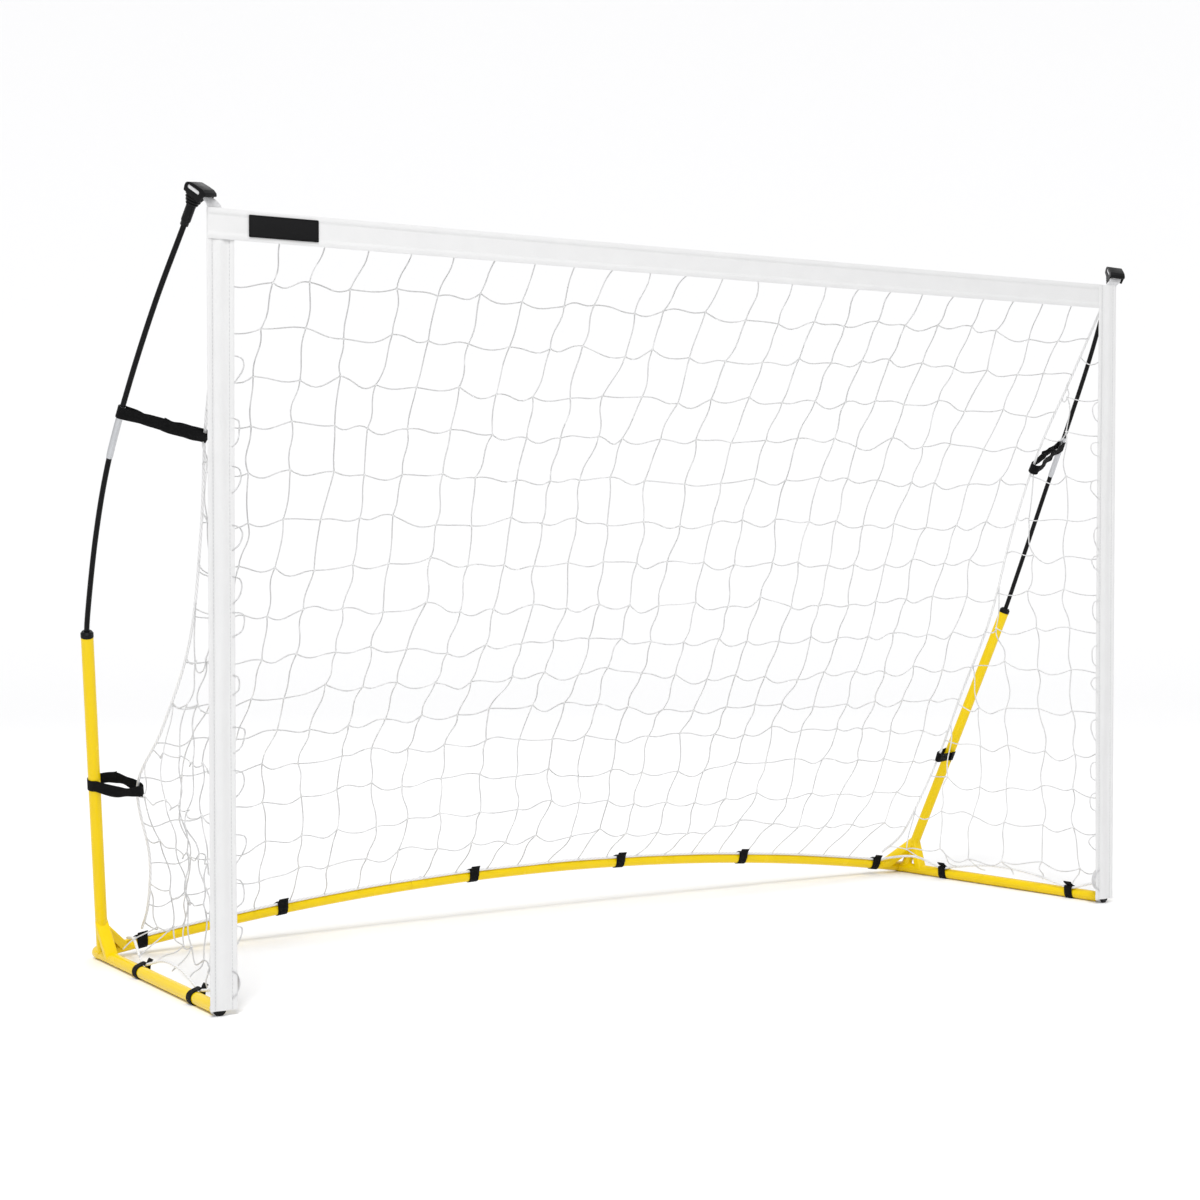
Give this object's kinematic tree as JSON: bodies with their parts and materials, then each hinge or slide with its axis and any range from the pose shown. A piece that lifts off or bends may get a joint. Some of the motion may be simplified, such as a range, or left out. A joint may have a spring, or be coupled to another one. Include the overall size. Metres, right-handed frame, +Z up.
{
  "type": "portable football goal",
  "caption": "Portable football goal: arched steel tube base with push-button joints, flexible pole corners and a strapped net.",
  "frame": {"origin": "on the ground, in the middle of the goal's width and depth", "axes": "+X across the goal to the right as seen from the field, +Y from the mouth to the back, +Z up"},
  "size_m": [2.6, 0.7376, 1.5732],
  "materials": {
    "painted_steel": "gloss yellow powder coat",
    "plated_steel": "zinc plated",
    "black_plastic": "satin moulded",
    "fibreglass": "satin pultruded rod",
    "black_webbing": "hook-and-loop tape",
    "white_fabric": "woven polyester",
    "net_cord": "twisted cord"
  },
  "bodies": {
    "root": {"bottom_rope": "net_cord", "button_spring_left": "plated_steel", "button_spring_right": "plated_steel", "corner_webbing_left": "white_fabric", "corner_webbing_right": "white_fabric", "crossbar_band": "white_fabric", "edge_rope_left": "net_cord", "edge_rope_right": "net_cord", "end_cap_left": "black_plastic", "end_cap_right": "black_plastic", "ferrule_left": "plated_steel", "ferrule_right": "plated_steel", "foot_loop_left": "white_fabric", "foot_loop_right": "white_fabric", "joint_sleeve_left": "plated_steel", "joint_sleeve_right": "plated_steel", "label_patch": "black_webbing", "lower_pole_left": "fibreglass", "lower_pole_right": "fibreglass", "net_back": "net_cord", "net_side_left": "net_cord", "net_side_right": "net_cord", "pole_collar_left": "black_plastic", "pole_collar_right": "black_plastic", "pole_strap_left": "black_webbing", "pole_strap_right": "black_webbing", "post_band_left": "white_fabric", "post_band_right": "white_fabric", "rear_gusset_left": "painted_steel", "rear_gusset_right": "painted_steel", "rear_strap_1": "black_webbing", "rear_strap_2": "black_webbing", "rear_strap_3": "black_webbing", "rear_strap_4": "black_webbing", "rear_strap_5": "black_webbing", "rear_strap_6": "black_webbing", "rear_tube_centre": "painted_steel", "rear_tube_left": "painted_steel", "rear_tube_right": "painted_steel", "shock_cord_left": "white_fabric", "shock_cord_right": "white_fabric", "side_gusset_left": "painted_steel", "side_gusset_right": "painted_steel", "side_strap_left_1": "black_webbing", "side_strap_left_2": "black_webbing", "side_strap_right_1": "black_webbing", "side_strap_right_2": "black_webbing", "side_tube_left": "painted_steel", "side_tube_right": "painted_steel", "tip_cap_left": "black_plastic", "tip_cap_right": "black_plastic", "upper_pole_left": "fibreglass", "upper_pole_right": "fibreglass", "upright_strap_left": "black_webbing", "upright_strap_right": "black_webbing", "upright_tube_left": "painted_steel", "upright_tube_right": "painted_steel"},
    "button_left": {"snap_button_left": "plated_steel"},
    "button_right": {"snap_button_right": "plated_steel"}
  },
  "joints": [
    {"name": "button_left_press", "type": "slide", "parent": "root", "child": "button_left", "axis": [0.0474, 0, -0.9989], "range_m": [0, 0.0045], "stiffness_N_per_m": 1800, "springref_m": -0.004, "deforming": ["button_spring_left"]},
    {"name": "button_right_press", "type": "slide", "parent": "root", "child": "button_right", "axis": [-0.0474, 0, -0.9989], "range_m": [0, 0.0045], "stiffness_N_per_m": 1800, "springref_m": -0.004, "deforming": ["button_spring_right"]}
  ]
}
